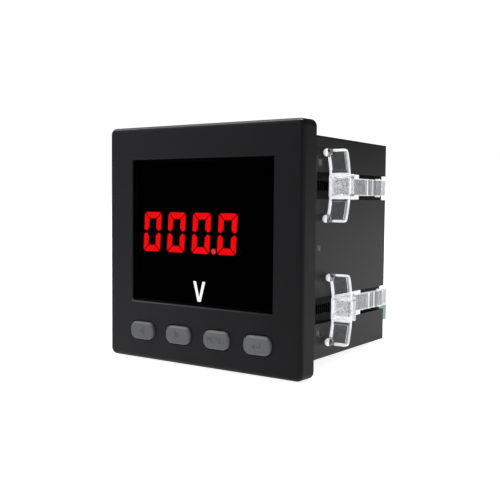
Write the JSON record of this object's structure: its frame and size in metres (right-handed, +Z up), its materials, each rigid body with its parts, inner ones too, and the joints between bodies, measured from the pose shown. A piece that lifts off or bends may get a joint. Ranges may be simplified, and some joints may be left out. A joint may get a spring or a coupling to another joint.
{
  "type": "digital panel meter",
  "caption": "Square panel-mounted digital voltmeter with a dark window, lit red digits, grey keys, a deep black case and clear sliding mounting clips.",
  "frame": {"origin": "centre of the bezel's rear face, in the plane that bears on the panel's front", "axes": "+X right as seen from the front, +Y back into the panel, +Z up"},
  "size_m": [0.087, 0.0787, 0.08],
  "materials": {
    "bezel": "fine textured charcoal moulding",
    "case": "satin black moulding",
    "lens": "dark smoked window, polished",
    "key": "grey moulded key",
    "segment": "red light bar of a digit",
    "segment_off": "unlit light bar",
    "module": "black module shell",
    "board": "green circuit board",
    "switch": "black switch housing",
    "screw": "zinc plated screw",
    "contact": "tinned brass",
    "core": "ferrite core",
    "coil": "taped winding",
    "capacitor": "sleeved can",
    "terminal": "green terminal moulding",
    "clip": "clear moulded plastic"
  },
  "bodies": {
    "meter": {"bezel": "bezel", "window_lens": "lens", "display_module": "module", "digit_rim_segments": "segment", "digit_middle_segments": "segment_off", "decimal_points": "segment", "display_board": "board", "board_screws": "screw", "switch_body_1": "switch", "switch_body_2": "switch", "switch_body_3": "switch", "switch_body_4": "switch", "case_body": "case", "rear_cover": "case", "cover_screws": "screw", "main_board": "board", "board_link": "switch", "transformer_core": "core", "transformer_coil": "coil", "main_capacitor": "capacitor", "small_capacitors": "capacitor", "controller_chip": "switch", "terminal_header_left": "terminal", "header_pins_left": "contact", "terminal_header_right": "terminal", "header_pins_right": "contact"},
    "key_left": {"key_left": "key", "switch_plunger_1": "switch"},
    "key_right": {"key_right": "key", "switch_plunger_2": "switch"},
    "key_menu": {"key_menu": "key", "switch_plunger_3": "switch"},
    "key_enter": {"key_enter": "key", "switch_plunger_4": "switch"},
    "plug_left": {"terminal_plug_left": "terminal", "terminal_clamps_left": "contact", "terminal_screws_left": "screw"},
    "plug_right": {"terminal_plug_right": "terminal", "terminal_clamps_right": "contact", "terminal_screws_right": "screw"},
    "clip_right_upper": {"clip_right_upper": "clip"},
    "clip_left_upper": {"clip_left_upper": "clip"},
    "clip_right_lower": {"clip_right_lower": "clip"},
    "clip_left_lower": {"clip_left_lower": "clip"}
  },
  "joints": [
    {"name": "key_left_press", "type": "slide", "parent": "meter", "child": "key_left", "axis": [0, 1, 0], "range_m": [0, 0.0004], "stiffness_N_per_m": 2500, "springref_m": -0.0003},
    {"name": "key_right_press", "type": "slide", "parent": "meter", "child": "key_right", "axis": [0, 1, 0], "range_m": [0, 0.0004], "stiffness_N_per_m": 2500, "springref_m": -0.0003},
    {"name": "key_menu_press", "type": "slide", "parent": "meter", "child": "key_menu", "axis": [0, 1, 0], "range_m": [0, 0.0004], "stiffness_N_per_m": 2500, "springref_m": -0.0003},
    {"name": "key_enter_press", "type": "slide", "parent": "meter", "child": "key_enter", "axis": [0, 1, 0], "range_m": [0, 0.0004], "stiffness_N_per_m": 2500, "springref_m": -0.0003},
    {"name": "plug_left_pull", "type": "slide", "parent": "meter", "child": "plug_left", "axis": [0, 1, 0], "range_m": [0, 0.012]},
    {"name": "plug_right_pull", "type": "slide", "parent": "meter", "child": "plug_right", "axis": [0, 1, 0], "range_m": [0, 0.012]},
    {"name": "clip_right_upper_slide", "type": "slide", "parent": "meter", "child": "clip_right_upper", "axis": [0, 1, 0], "range_m": [-0.0076, 0.03]},
    {"name": "clip_left_upper_slide", "type": "slide", "parent": "meter", "child": "clip_left_upper", "axis": [0, 1, 0], "range_m": [-0.0076, 0.03]},
    {"name": "clip_right_lower_slide", "type": "slide", "parent": "meter", "child": "clip_right_lower", "axis": [0, 1, 0], "range_m": [-0.0102, 0.03]},
    {"name": "clip_left_lower_slide", "type": "slide", "parent": "meter", "child": "clip_left_lower", "axis": [0, 1, 0], "range_m": [-0.0102, 0.03]}
  ]
}
